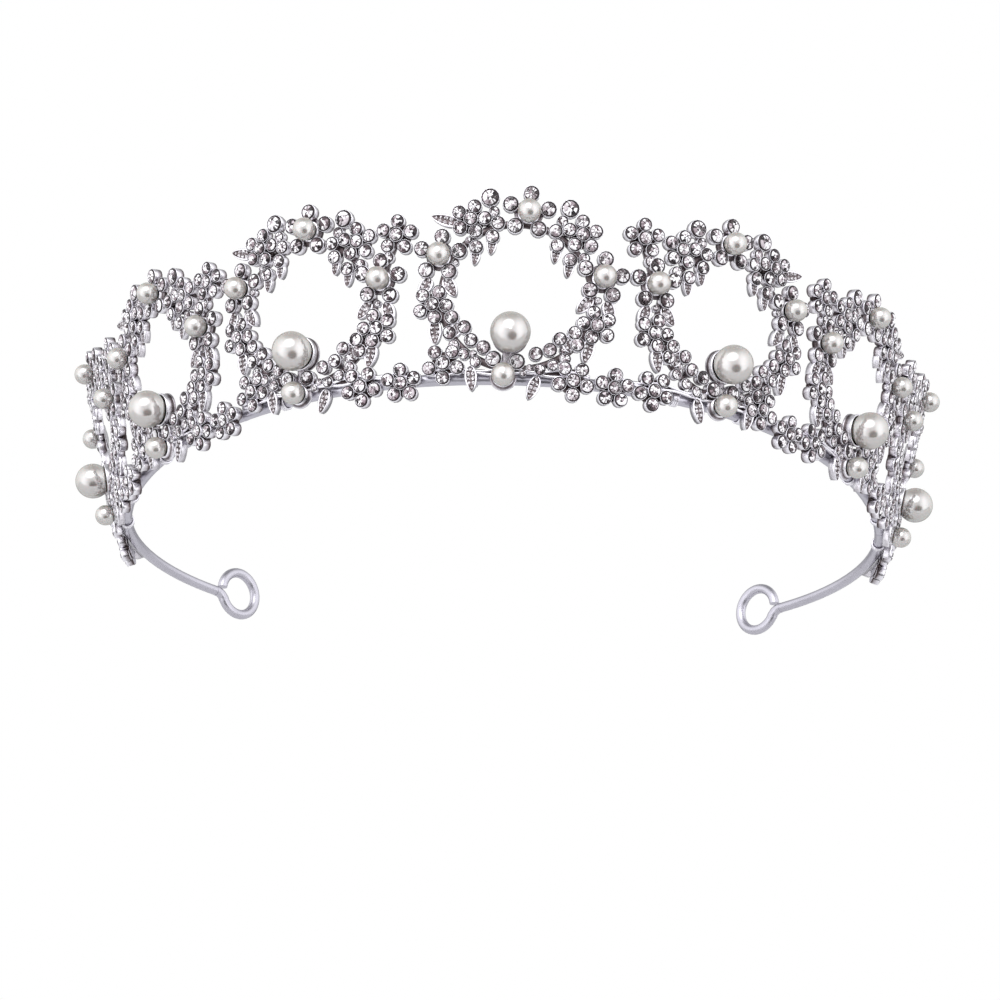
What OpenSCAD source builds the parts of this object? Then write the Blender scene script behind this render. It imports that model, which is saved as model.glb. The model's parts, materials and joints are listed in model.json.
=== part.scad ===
// Rhinestone crown headband: seven flower wreaths on a bent base wire.
// The wire runs round the head in plan, open at the back, with a loop at each end.
// X is to the wearer's left, Y to the back of the head, Z up.

/* [Base wire] */
// Diameter of the round base wire
wire_d = 2.1; // [1.8:0.1:2.4]
// Plan radius of the wire at the front of the head
front_r = 72; // [70:1:76]
// Angle that each half of the front arc turns through
front_turn = 42; // [40:1:44]
// Plan radius of the wire at the temples
side_r = 88; // [84:1:94]
// Angle that each side arc turns through
side_turn = 36; // [34:1:38]
// Plan radius of the wire where it curls in behind the ears
end_r = 52; // [48:1:56]
// Angle that each end arc turns through
end_turn = 56; // [52:1:58]
// Outer diameter of the round loop at each end of the wire
loop_d = 11.6; // [11:0.1:12.4]
// Inner bend radius where the wire dips into a loop
dip_r = 2.5; // [2.2:0.1:3]
// Angle of that dip
dip_turn = 60; // [55:1:64]

/* [Wall of wreaths] */
// Distance along the wire from one wreath to the next
pitch = 36; // [36:0.1:37]
// Height of a wreath's middle above the wire, up the wall
ring_up = 14.3; // [14.1:0.1:14.5]
// Angle that the wall of wreaths leans outward from upright
flare = 14; // [12:1:16]
// Turn of the three wreaths on the wearer's right, clockwise seen from outside
right_lean = 8; // [6:1:8]
// Turn of the front wreath, clockwise seen from outside
front_lean = 6; // [4:1:6]
// Turn of the three wreaths on the wearer's left, clockwise seen from outside
left_lean = -5; // [-6:1:-3]

/* [Cups and stones] */
// Outer diameter of a petal cup round a pearl
petal_d = 2.9; // [2.8:0.05:2.95]
// Outer diameter of a cup in a flower of stones
bud_d = 2.45; // [2.4:0.05:2.5]
// Outer diameter of the two large cups at the top of a wreath
bezel_d = 3.4; // [3.2:0.1:3.5]
// Wall of a cup round its stone
cup_wall = 0.22; // [0.2:0.01:0.25]
// Depth of a cup, from its rim to the back of the casting
cup_depth = 2; // [1.9:0.1:2.2]
// Air between a stone and its cup
stone_air = 0.1; // [0.1:0.01:0.12]

/* [Pearls] */
// Diameter of a large pearl
large_pearl_d = 7; // [6.8:0.1:7.2]
// Diameter of a small pearl
small_pearl_d = 4.1; // [4:0.05:4.2]
// Length of the drum that carries a large pearl
drum_len = 2.1; // [2:0.1:2.3]

/* [Hidden] */
WREATHS = [1:7];
PEARLS = ["large_pearl", "top_pearl", "right_pearl", "left_pearl", "low_pearl"];

// Distance of the wire's front behind the origin, which is under the middle of the whole
front_y = -54.13;
wire_r = wire_d / 2;
air = 0.1;
// Distance from the wire's middle out to the back of the castings
back = wire_r + 2 * air;
loop_ring = loop_d / 2 - wire_r;
loop_turn = 328;
joint_gap = 0.1;
joint_d = wire_d + 0.1;
// Height of a loop's middle above the wire's middle
loop_rise = loop_ring * cos(dip_turn) - dip_r * (1 - cos(dip_turn));
// The leaf tips and the end loops both just reach the rest surface
wire_z = loop_d / 2 - loop_rise;
mean_r = 80;
round_fn = 48;
cup_fn = 8;

// Plan arcs of one half of the wire: radius, turn
ARCS = [[front_r, front_turn], [side_r, side_turn], [end_r, end_turn]];

// Pearls of a wreath, polar about its middle: angle, radius
TOP_PEARL = [90, 14.9];
SIDE_PEARLS = [[157.5, 15], [22.5, 15]];
// Angle at which the large and the low pearl hang, by side of the head: right, front, left
HANG = [268, 268, 271];
large_pearl_at = 7.2;
low_pearl_at = 14.4;
// Flowers of stones in a wreath: angle, radius, phase of the first petal
FLOWERS = [
    [127, 15.7, 82], [53, 15.7, 98],
    [192, 14.2, 70], [-12, 14.2, 110]
];
// Single stones in small cups: angle, radius
SINGLES = [
    [111.5, 13.2], [68.5, 13.2], [206, 11.5], [-26, 11.5], [217, 13], [-32.5, 13.1],
    [219.5, 10.4], [-39.5, 10.4], [233, 11], [-53, 11], [246, 10.8], [-66, 10.8]
];
// Single stones with a pointed tip below: angle, radius
TIPPED = [[119, 11.2], [61, 11.2], [136, 11], [44, 11]];
tip_len = 3.1;
tip_w = 1.6;
// Large cups at the top: angle, radius
BEZELS = [[112, 18], [68, 18]];
// Leaves: root angle, root radius, tip angle, tip radius, width
LEAVES = [
    [134, 16.2, 142, 20.6, 2.2],
    [171, 12.6, 187, 10.4, 2.4], [9, 12.6, -7, 10.4, 2.4],
    [173, 15, 186, 16.6, 2.4], [7, 15, -6, 16.6, 2.4],
    [203, 14.3, 218, 16.1, 2.4], [-23, 14.3, -38, 16.1, 2.4],
    [219, 13.4, 214, 10.2, 2.2], [-39, 13.4, -34, 10.2, 2.2],
    [245, 14.6, 253, 18.4, 2.2], [291, 14.6, 283, 18.4, 2.2]
];
// Flowers at the foot of the wall, in a plane that turns about the wire with the wreath: across, up
FOOT_FLOWERS = [[-12.2, 1], [9.65, 0.8]];
foot_phase = 54;
// Flower that links two wreaths at the top: across from the wreath's middle, up
LINK_TOP = [16.4, 13.8];
// Flower that links two wreaths at the foot: across from halfway between them, up from the wire
LINK_FOOT = [-1.2, -0.7];
// The last leaf on each end, from the middle of the last wreath: root, tip, width
TAIL = [19.5, 27, 2.8];

bud_ring = 2.35;
foot_ring = 2.5;
petal_ring = 3.35;
petals = 5;
heart_rise = 0.3;
plate_t = 0.9;
band_r = 12.9;
band_w = 3.2;
band_steps = 16;
strut_w = 2.2;
rail_up = 0.9;
rail_w = 1.2;
rail_step = 3.6;
rail_inset = 0.05;
rail_end = 13.8;
wrap_at = 7;
wrap_len = 1.3;
wrap_r = wire_r + air + 0.4;
leaf_t = 1.6;
recess_depth = 0.9;
peg_d = 0.8;
peg_len = 1.6;
drum_d = 6.3;
drum_bore_d = 5.4;
stem_w = 1.1;
// Bars that tie the large cups to the ring: angle, inner radius, outer radius
STEMS = [[112, 14, 18], [68, 14, 18]];

// Plan of the wire

function arc_len(i) = ARCS[i][0] * ARCS[i][1] * PI / 180;
function arc_mid(c, h, r) = [c[0] - r * sin(h), c[1] + r * cos(h)];
function arc_end(c, h, r, turn) = arc_mid(c, h, r) + r * [sin(h + turn), -cos(h + turn)];
function arc_start(i) =
    i == 0 ? [0, 0] : arc_end(arc_start(i - 1), heading(i - 1), ARCS[i - 1][0], ARCS[i - 1][1]);
function heading(i) = i == 0 ? 0 : heading(i - 1) + ARCS[i - 1][1];

// Plan point and heading at a distance along one half of the wire
function walk(s, i = 0) =
    i == len(ARCS) - 1 || s <= arc_len(i)
        ? concat(
            arc_end(arc_start(i), heading(i), ARCS[i][0], s / ARCS[i][0] * 180 / PI),
            [heading(i) + s / ARCS[i][0] * 180 / PI]
        )
        : walk(s - arc_len(i), i + 1);
function mirrored(w) = [-w[0], w[1], -w[2]];
function plan(s) = s >= 0 ? walk(s) : mirrored(walk(-s));

// Places in a wreath and on the wall

function polar(row) = [row[1] * cos(row[0]), row[1] * sin(row[0])];
function ring_of(c, ring, n, phase) = [for (i = [0:n - 1]) c + polar([phase + 360 * i / n, ring])];

// Side of wreath k: -1 on the wearer's right, 1 on the wearer's left, 0 at the front
function side(k) = sign(k - 4);
function lean(k) = k < 4 ? right_lean : k > 4 ? left_lean : front_lean;
function flipped(k, p) = [side(k) > 0 ? -p[0] : p[0], p[1]];
// Wreath's own plane to upright: across from its middle, up from the wire
function turned(k, p) = [
    p[0] * cos(lean(k)) + p[1] * sin(lean(k)),
    ring_up - p[0] * sin(lean(k)) + p[1] * cos(lean(k))
];
// Upright to the wall: distance along the wire, height up the wall
function upright(k, p) = [(k - 4) * pitch + p[0] / (1 + p[1] * sin(flare) / mean_r), p[1]];
function in_wreath(k, p) = upright(k, turned(k, flipped(k, p)));

function large_spot(k) = [HANG[side(k) + 1], large_pearl_at];
function low_spot(k) = [HANG[side(k) + 1], low_pearl_at];

// Puts children on the wall: X along the wire, Y up the wall, Z outward
module on_wall(w) {
    p = plan(w[0]);
    translate([p[0], p[1] + front_y, wire_z])
        rotate([0, 0, p[2]])
            rotate([flare, 0, 0])
                translate([0, 0, w[1]])
                    rotate([90, 0, 0])
                        children();
}

// Middles of the cups, by kind

function flower_hearts(k) = [for (f = FLOWERS) in_wreath(k, polar(f))];
function flower_buds(k) = [
    for (f = FLOWERS, p = ring_of(polar(f), bud_ring, petals, f[2])) in_wreath(k, p)
];
function pearl_petals(k) = [
    for (f = concat([TOP_PEARL], SIDE_PEARLS), p = ring_of(polar(f), petal_ring, petals, 90)) in_wreath(k, p)
];
function low_petals(k) = [for (a = [54, 126]) in_wreath(k, polar(low_spot(k)) + polar([a, petal_ring]))];
function singles(k) = [for (f = SINGLES) in_wreath(k, polar(f))];
function tipped(k) = [for (f = TIPPED) in_wreath(k, polar(f))];
function bezels(k) = [for (f = BEZELS) in_wreath(k, polar(f))];
function foot_flowers(k) = [
    for (f = FOOT_FLOWERS)
        [f[0] * cos(lean(k)) + f[1] * sin(lean(k)), f[1] * cos(lean(k)) - f[0] * sin(lean(k))]
];
function foot_hearts(k) = [for (f = foot_flowers(k)) upright(k, f)];
function foot_buds(k) = [
    for (f = foot_flowers(k), p = ring_of(f, foot_ring, petals, foot_phase)) upright(k, p)
];
// A wreath's upper link flower is on its side nearer the front
function link_top(k) = side(k) == 0 ? [] : [LINK_TOP];
function link_top_hearts(k) = [for (f = link_top(k)) in_wreath(k, f)];
function link_top_buds(k) = [for (f = link_top(k), p = ring_of(f, foot_ring, petals, 90)) in_wreath(k, p)];
// So is its lower link flower, and the last wreath on each side has one more behind it
function link_foot(k) = concat(
    side(k) == 0 ? [] : [[-side(k) * pitch / 2, 0] + LINK_FOOT],
    abs(k - 4) == 3 ? [[side(k) * pitch / 2, 0] + LINK_FOOT] : []
);
function link_foot_hearts(k) = [for (f = link_foot(k)) upright(k, f)];
function link_foot_buds(k) = [for (f = link_foot(k), p = ring_of(f, bud_ring, petals, 90)) upright(k, p)];

function hearts(k) = concat(flower_hearts(k), foot_hearts(k), link_top_hearts(k), link_foot_hearts(k));
function buds(k) = concat(
    flower_buds(k), foot_buds(k), link_top_buds(k), link_foot_buds(k), singles(k), tipped(k)
);
function all_petals(k) = concat(pearl_petals(k), low_petals(k));

// Base wire

// Bent piece of wire about the origin, from the X axis towards the Y axis
module bend(r, turn) {
    trim = joint_gap / r * 180 / PI;
    rotate([0, 0, trim])
        rotate_extrude(angle = turn - 2 * trim, $fn = 4 * round_fn)
            translate([r, 0])
                circle(d = wire_d, $fn = round_fn / 2);
}

// Sleeve of solder over the joint of two bends, along the X axis
module joint() {
    rotate([0, 90, 0])
        cylinder(h = 6 * joint_gap, d = joint_d, center = true, $fn = round_fn);
}

module side_bend(i) {
    m = arc_mid(arc_start(i), heading(i), ARCS[i][0]);
    translate([m[0], m[1], 0])
        rotate([0, 0, heading(i) - 90])
            bend(ARCS[i][0], ARCS[i][1]);
    translate([arc_start(i)[0], arc_start(i)[1], 0])
        rotate([0, 0, heading(i)])
            joint();
}

// The wire dips, then turns up and round to meet itself
module end_loop() {
    last = len(ARCS) - 1;
    p = arc_end(arc_start(last), heading(last), ARCS[last][0], ARCS[last][1]);
    translate([p[0], p[1], 0])
        rotate([0, 0, heading(last) + ARCS[last][1]]) {
            joint();
            translate([0, 0, -dip_r])
                rotate([90, 0, 0])
                    rotate([0, 0, 90 - dip_turn])
                        bend(dip_r, dip_turn);
            translate([dip_r * sin(dip_turn), 0, -dip_r * (1 - cos(dip_turn))])
                rotate([0, dip_turn, 0])
                    joint();
            translate([(dip_r + loop_ring) * sin(dip_turn), 0, loop_rise])
                rotate([90, 0, 0])
                    rotate([0, 0, 270 - dip_turn])
                        bend(loop_ring, loop_turn);
        }
}

module half_wire() {
    for (i = [1:len(ARCS) - 1])
        side_bend(i);
    end_loop();
}

module base_wire() {
    color("silver")
        translate([0, front_y, wire_z]) {
            translate([0, front_r, 0])
                rotate([0, 0, -90 - front_turn])
                    bend(front_r, 2 * front_turn);
            half_wire();
            mirror([1, 0, 0]) half_wire();
        }
}

// Castings

module cup(d, depth = cup_depth) {
    translate([0, 0, back + air])
        cylinder(h = depth - air, d = d, $fn = cup_fn);
}

module recess(d, depth = cup_depth) {
    translate([0, 0, back + depth - recess_depth])
        cylinder(h = recess_depth + air, d = d - 2 * cup_wall, $fn = round_fn);
}

module plate(r) {
    translate([0, 0, back])
        cylinder(h = plate_t, r = r, $fn = cup_fn);
}

// Peg that a drilled pearl is glued on
module peg() {
    translate([0, 0, back + plate_t - air])
        cylinder(h = peg_len, d = peg_d, $fn = cup_fn);
}

// Flat bar of the casting between two upright points, drawn in all round by an inset
module bar(k, a, b, width, inset = 0) {
    d = b - a;
    on_wall(upright(k, (a + b) / 2))
        rotate([0, 0, atan2(d[1], d[0])])
            translate([-norm(d) / 2 - air, inset - width / 2, back + air / 2 + inset])
                cube([norm(d) + 2 * air, width - 2 * inset, plate_t - 2 * inset]);
}

// Pointed leaf from one upright point to another
module leaf(k, a, b, width) {
    d = b - a;
    long = norm(d);
    on_wall(upright(k, (a + b) / 2))
        rotate([0, 0, atan2(d[1], d[0])])
            translate([-long / 2, 0, back])
                linear_extrude(leaf_t)
                    polygon([
                        [-air, -width / 4], [long * 0.35, -width / 2], [long * 0.7, -width / 3], [long, 0],
                        [long * 0.7, width / 3], [long * 0.35, width / 2], [-air, width / 4]
                    ]);
}

module ring_band(k) {
    step = 360 / band_steps;
    for (i = [0:band_steps - 1])
        bar(
            k,
            turned(k, polar([i * step, band_r])),
            turned(k, polar([(i + 1) * step, band_r])),
            band_w
        );
}

// The rail at the foot of a casting runs on under its own lower link flowers. Every second bar of it
// is slightly thinner, so that its ends sink into its neighbours
module rail(k) {
    low = side(k) > 0 || k == 1 ? -pitch / 2 : LINK_FOOT[0] - rail_end;
    high = (side(k) < 0 && k != 4) || k == 7 ? pitch / 2 : LINK_FOOT[0] + rail_end;
    n = ceil((high - low) / rail_step);
    for (i = [0:n - 1])
        bar(
            k,
            [low + (high - low) * i / n, rail_up],
            [low + (high - low) * (i + 1) / n, rail_up],
            rail_w,
            i % 2 * rail_inset
        );
}

// Short collar of the casting round the base wire
module wire_wrap(k, x) {
    on_wall(upright(k, [x, 0]))
        rotate([0, 90, 0])
            translate([0, 0, -wrap_len / 2])
                cylinder(h = wrap_len, r = wrap_r, $fn = cup_fn);
}

module wire_hole(k, x) {
    on_wall(upright(k, [x, 0]))
        rotate([0, 90, 0])
            translate([0, 0, -wrap_len])
                cylinder(h = 2 * wrap_len, r = wire_r + air, $fn = round_fn);
}

module wreath_metal(k) {
    ring_band(k);
    rail(k);
    for (w = hearts(k))
        on_wall(w) {
            plate(bud_ring + air);
            cup(bud_d, cup_depth + heart_rise);
        }
    for (w = buds(k))
        on_wall(w) cup(bud_d);
    for (w = all_petals(k))
        on_wall(w) cup(petal_d);
    for (w = bezels(k))
        on_wall(w) cup(bezel_d);
    for (f = concat([TOP_PEARL, low_spot(k)], SIDE_PEARLS))
        on_wall(in_wreath(k, polar(f))) {
            plate(petal_ring - air);
            peg();
        }
    for (row = STEMS)
        bar(
            k,
            turned(k, flipped(k, polar([row[0], row[1]]))),
            turned(k, flipped(k, polar([row[0], row[2]]))),
            stem_w
        );
    for (f = link_top(k))
        bar(k, turned(k, flipped(k, f)), turned(k, flipped(k, polar(SIDE_PEARLS[1]))), stem_w);
    for (f = TIPPED)
        leaf(k, turned(k, flipped(k, polar(f))), turned(k, flipped(k, polar(f) - [0, tip_len])), tip_w);
    for (row = LEAVES)
        leaf(
            k,
            turned(k, flipped(k, polar([row[0], row[1]]))),
            turned(k, flipped(k, polar([row[2], row[3]]))),
            row[4]
        );
    bar(k, turned(k, flipped(k, polar(large_spot(k)))), turned(k, flipped(k, polar(low_spot(k)))), strut_w);
    for (x = [-wrap_at, wrap_at])
        wire_wrap(k, x);
    if (abs(k - 4) == 3)
        leaf(
            k,
            [side(k) * TAIL[0] + LINK_FOOT[0], rail_up],
            [side(k) * TAIL[1] + LINK_FOOT[0], rail_up],
            TAIL[2]
        );
}

module drum(k) {
    on_wall(in_wreath(k, polar(large_spot(k)))) {
        difference() {
            translate([0, 0, back])
                cylinder(h = drum_len, d = drum_d, $fn = round_fn);
            translate([0, 0, back + plate_t])
                cylinder(h = drum_len, d = drum_bore_d, $fn = round_fn);
        }
        peg();
    }
}

// Room for the stones and the wire
module wreath_room(k) {
    for (w = hearts(k))
        on_wall(w) recess(bud_d, cup_depth + heart_rise);
    for (w = buds(k))
        on_wall(w) recess(bud_d);
    for (w = all_petals(k))
        on_wall(w) recess(petal_d);
    for (w = bezels(k))
        on_wall(w) recess(bezel_d);
    for (x = [-wrap_at, wrap_at])
        wire_hole(k, x);
}

module wreath(k) {
    color("silver")
        difference() {
            union() {
                wreath_metal(k);
                drum(k);
            }
            wreath_room(k);
        }
}

// Cut stones: a table, eight crown facets and eight pavilion facets

module stone(d) {
    r = d / 2;
    crown = 0.34 * r;
    pavilion = min(0.7 * r, recess_depth - 2 * air);
    rim = [for (i = [0:7]) [r * cos(45 * i), r * sin(45 * i), 0]];
    table = [for (i = [0:7]) [0.6 * r * cos(45 * i), 0.6 * r * sin(45 * i), crown]];
    polyhedron(
        points = concat(table, rim, [[0, 0, -pavilion]]),
        faces = concat(
            [[for (i = [7:-1:0]) i]],
            [for (i = [0:7]) [i, (i + 1) % 8, 8 + (i + 1) % 8, 8 + i]],
            [for (i = [0:7]) [8 + i, 8 + (i + 1) % 8, 16]]
        )
    );
}

module set_stone(d, depth = cup_depth) {
    translate([0, 0, back + depth - air])
        stone(d - 2 * cup_wall - 2 * stone_air);
}

// The main stones of a wreath, each loose in its own cup
module stones(k) {
    color("white") {
        for (w = concat(flower_hearts(k), foot_hearts(k), link_top_hearts(k)))
            on_wall(w) set_stone(bud_d, cup_depth + heart_rise);
        for (w = pearl_petals(k))
            on_wall(w) set_stone(petal_d);
        for (w = bezels(k))
            on_wall(w) set_stone(bezel_d);
    }
}

// Pearls

module pearl(d) {
    translate([0, 0, back + plate_t + air + d / 2])
        difference() {
            sphere(d = d, $fn = round_fn);
            translate([0, 0, -d])
                cylinder(h = d / 2 + peg_len + air, d = peg_d + 2 * air, $fn = round_fn);
        }
}

module small_pearl(k, row) {
    color("ivory")
        on_wall(in_wreath(k, polar(row))) pearl(small_pearl_d);
}

module large_pearl(k) {
    color("ivory")
        on_wall(in_wreath(k, polar(large_spot(k)))) pearl(large_pearl_d);
}

// The side pearl on the wearer's right is the first or the second of its wreath's pair
function right_row(k) = SIDE_PEARLS[side(k) > 0 ? 1 : 0];
function left_row(k) = SIDE_PEARLS[side(k) > 0 ? 0 : 1];

base_wire();
for (k = WREATHS) {
    wreath(k);
    stones(k);
    large_pearl(k);
    small_pearl(k, TOP_PEARL);
    small_pearl(k, right_row(k));
    small_pearl(k, left_row(k));
    small_pearl(k, low_spot(k));
}
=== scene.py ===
"""Rhinestone crown headband: the detailed castings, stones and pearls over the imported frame.

Lengths in the tables are in millimetres, and every mesh is written in metres.
"""

from __future__ import annotations

import json
import logging
import math
from dataclasses import dataclass, field
from enum import Enum
from typing import Sequence

import bpy
import numpy as np
from mathutils import Matrix, Vector

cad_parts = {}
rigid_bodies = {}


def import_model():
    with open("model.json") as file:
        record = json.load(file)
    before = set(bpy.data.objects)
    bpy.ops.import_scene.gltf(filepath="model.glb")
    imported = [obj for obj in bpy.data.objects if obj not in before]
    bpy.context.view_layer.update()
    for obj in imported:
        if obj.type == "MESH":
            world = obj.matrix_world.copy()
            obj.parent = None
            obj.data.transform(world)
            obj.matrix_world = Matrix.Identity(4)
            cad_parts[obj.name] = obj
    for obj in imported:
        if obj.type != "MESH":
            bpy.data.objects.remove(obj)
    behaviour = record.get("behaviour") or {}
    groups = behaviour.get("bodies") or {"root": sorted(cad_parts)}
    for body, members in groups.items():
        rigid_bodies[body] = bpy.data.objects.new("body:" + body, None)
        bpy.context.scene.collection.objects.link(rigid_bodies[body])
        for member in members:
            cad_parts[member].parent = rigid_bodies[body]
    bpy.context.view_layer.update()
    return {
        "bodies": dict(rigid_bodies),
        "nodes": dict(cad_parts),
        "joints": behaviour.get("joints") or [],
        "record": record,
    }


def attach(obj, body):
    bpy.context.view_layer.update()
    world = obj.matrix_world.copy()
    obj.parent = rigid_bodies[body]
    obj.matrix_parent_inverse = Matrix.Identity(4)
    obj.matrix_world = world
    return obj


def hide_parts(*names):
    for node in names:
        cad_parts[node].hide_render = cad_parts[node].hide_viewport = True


LOG = logging.getLogger("crown")
MM = 0.001
WREATHS = range(1, 8)
FRONT = 4
Array = np.ndarray
Colour = tuple[float, float, float]
Socket = bpy.types.NodeSocket


class Setting(Enum):
    """How a stone is held, which sets its cup's size and height.

    A heart and its buds make a flower of stones, petals stand round a pearl, bezels are the large cups at the
    top, pave cups cover the band, and seeds fill the gaps between.
    """

    HEART = "heart"
    BUD = "bud"
    PETAL = "petal"
    BEZEL = "bezel"
    PAVE = "pave"
    SEED = "seed"


# Numbers of the crown


@dataclass(frozen=True)
class Polar:
    """A place in a wreath's own plane, in degrees and millimetres from its middle."""

    angle: float
    radius: float

    def point(self) -> Array:
        """Returns the place across and up from the wreath's middle."""
        turn = math.radians(self.angle)
        return np.array([self.radius * math.cos(turn), self.radius * math.sin(turn)])


def plane_points(places: Sequence[Polar]) -> Array:
    """Returns places across and up from the wreath's middle, one row each."""
    return np.array([place.point() for place in places])


@dataclass(frozen=True)
class LeafRow:
    """A leaf of the casting: where its root and its tip are, and its width."""

    root: Polar
    tip: Polar
    width: float


TOP_PEARL = Polar(90, 14.9)
SIDE_PEARLS = (Polar(157.5, 15), Polar(22.5, 15))
UPPER_PEARLS = (TOP_PEARL, *SIDE_PEARLS)
# Angle at which the large and the low pearl hang, by side of the head
HANG = {-1: 268.0, 0: 268.0, 1: 271.0}
LARGE_PEARL_AT = 7.2
LOW_PEARL_AT = 14.4
# Directions of the two cups that hold the low pearl from above
LOW_PETALS = (54.0, 126.0)
# Flowers of stones: place, turn of the first petal
FLOWERS = (
    (Polar(127, 15.7), 82), (Polar(53, 15.7), 98), (Polar(192, 14.2), 70), (Polar(-12, 14.2), 110),
)
SINGLES = (
    Polar(111.5, 13.2), Polar(68.5, 13.2), Polar(206, 11.5), Polar(-26, 11.5),
    Polar(217, 13), Polar(-32.5, 13.1), Polar(219.5, 10.4), Polar(-39.5, 10.4),
    Polar(233, 11), Polar(-53, 11), Polar(246, 10.8), Polar(-66, 10.8),
)
TIPPED = (Polar(119, 11.2), Polar(61, 11.2), Polar(136, 11), Polar(44, 11))
BEZELS = (Polar(112, 18), Polar(68, 18))
LEAVES = (
    LeafRow(Polar(134, 16.2), Polar(142, 20.6), 2.2),
    LeafRow(Polar(171, 12.6), Polar(187, 10.4), 2.4),
    LeafRow(Polar(9, 12.6), Polar(-7, 10.4), 2.4),
    LeafRow(Polar(173, 15), Polar(186, 16.6), 2.4),
    LeafRow(Polar(7, 15), Polar(-6, 16.6), 2.4),
    LeafRow(Polar(203, 14.3), Polar(218, 16.1), 2.4),
    LeafRow(Polar(-23, 14.3), Polar(-38, 16.1), 2.4),
    LeafRow(Polar(219, 13.4), Polar(214, 10.2), 2.2),
    LeafRow(Polar(-39, 13.4), Polar(-34, 10.2), 2.2),
    LeafRow(Polar(245, 14.6), Polar(253, 18.4), 2.2),
    LeafRow(Polar(291, 14.6), Polar(283, 18.4), 2.2),
)
STEMS = ((Polar(112, 14), Polar(112, 18)), (Polar(68, 14), Polar(68, 18)))
# Small cups that cover the band at the bottom and the stems at the top
BAND_CUPS = (
    Polar(226.5, 13.6), Polar(236.5, 13.6), Polar(246.5, 13.6), Polar(-46.5, 13.6),
    Polar(-56.5, 13.6), Polar(-66.5, 13.6), Polar(112, 15.4), Polar(68, 15.4),
    Polar(98, 12.4), Polar(82, 12.4), Polar(39.5, 13.3),
)
# First petal's direction in a flower that stands upright, and in a foot flower
UPRIGHT_PHASE = 90.0
FOOT_PHASE = 54.0
# Flowers at the foot, in a plane that turns about the wire: across, up
FOOT_FLOWERS = np.array([[-12.2, 1.0], [9.65, 0.8]])
LINK_TOP = np.array([16.4, 13.8])
LINK_FOOT = np.array([-1.2, -0.7])
# Foot rail: its height above the wire, and its reach to each side where the next rail takes over
RAIL_UP = 0.9
RAIL_END = 13.8


@dataclass(frozen=True)
class CrownSizes:
    """The crown's leading sizes, in millimetres and degrees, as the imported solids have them.

    A ring is the radius at which cups stand about a pearl or a flower's middle, and back is the distance from
    the wire's middle out to the back of the castings.
    """

    arcs: tuple[tuple[float, float], ...] = ((72.0, 42.0), (88.0, 36.0), (52.0, 56.0))
    front_y: float = -54.13
    wire_z: float = 4.675
    pitch: float = 36.0
    ring_up: float = 14.3
    flare: float = 14.0
    mean_r: float = 80.0
    right_lean: float = 8.0
    front_lean: float = 6.0
    left_lean: float = -5.0
    back: float = 1.25
    petal_ring: float = 3.35
    bud_ring: float = 2.35
    foot_ring: float = 2.5
    petals: int = 5
    small_pearl_d: float = 4.1


@dataclass(frozen=True)
class CupSize:
    """Outer diameter and rim height of one kind of cup, from the back of the casting."""

    diameter: float
    height: float


# The cups of flowers are up to 0.2 mm wider than the solids', so that their rims meet as the photo shows
CUPS: dict[Setting, CupSize] = {
    Setting.HEART: CupSize(2.62, 2.3),
    Setting.BUD: CupSize(2.62, 2.0),
    Setting.PETAL: CupSize(2.95, 2.0),
    Setting.BEZEL: CupSize(3.4, 2.0),
    Setting.PAVE: CupSize(2.1, 1.75),
    Setting.SEED: CupSize(1.35, 1.5),
}


# Surfaces worked out with numpy


def grid_faces(rows: int, cols: int, wrap_rows: bool = False, wrap_cols: bool = False) -> Array:
    """Quads of a grid of rows by columns, each going round its four corners.

    Args:
        rows: Number of rows of points.
        cols: Number of points in a row.
        wrap_rows: Whether the last row joins the first.
        wrap_cols: Whether the last column joins the first.

    Returns:
        Indices of shape (faces, 4).
    """
    i = np.arange(rows if wrap_rows else rows - 1)[:, None]
    j = np.arange(cols if wrap_cols else cols - 1)[None, :]
    a = i * cols + j
    b = i * cols + (j + 1) % cols
    c = (i + 1) % rows * cols + (j + 1) % cols
    d = (i + 1) % rows * cols + j
    return np.stack([a, b, c, d], -1).reshape(-1, 4)


def end_faces(rows: int, cols: int) -> Array:
    """Returns one flat face at each end of a tube of rows by columns, facing away from it."""
    ring = np.arange(cols)[None]
    return np.concatenate([ring[:, ::-1], (rows - 1) * cols + ring])


def circle(count: int) -> Array:
    """Returns the cosine and sine of angles evenly round a turn, one row each."""
    a = np.arange(count) * 2 * math.pi / count
    return np.stack([np.cos(a), np.sin(a)], -1)


@dataclass
class Patch:
    """One surface: points, and faces with the same number of corners in each array.

    recess is a value at each point, from 0 on bright metal to 1 deep in a recess, which the silver paints as
    shade and patina, and local is each point in its own part's axes, before the part is sized and placed.
    """

    points: Array
    faces: list[Array]
    recess: Array
    local: Array
    smooth: bool = True


def revolve(profile: Sequence[tuple[float, float, float]], sides: int) -> Patch:
    """A profile turned about the Z axis: point(i, j) = (r_i cos a_j, r_i sin a_j, z_i).

    The first and last rings are closed with one flat face each.

    Args:
        profile: Rows of radius, height and recess, from the outer foot over the rim to the floor.
        sides: Number of points round the axis.

    Returns:
        The closed surface.
    """
    rows = np.array(profile, dtype=float)
    ring = np.concatenate([circle(sides), np.zeros((sides, 1))], 1)
    pts = rows[:, None, 0:1] * ring[None] + rows[:, None, 1:2] * np.array([0, 0, 1.0])
    faces = [grid_faces(len(rows), sides, wrap_cols=True), end_faces(len(rows), sides)]
    flat = pts.reshape(-1, 3)
    return Patch(flat, faces, np.repeat(rows[:, 2], sides), flat.copy())


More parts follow.
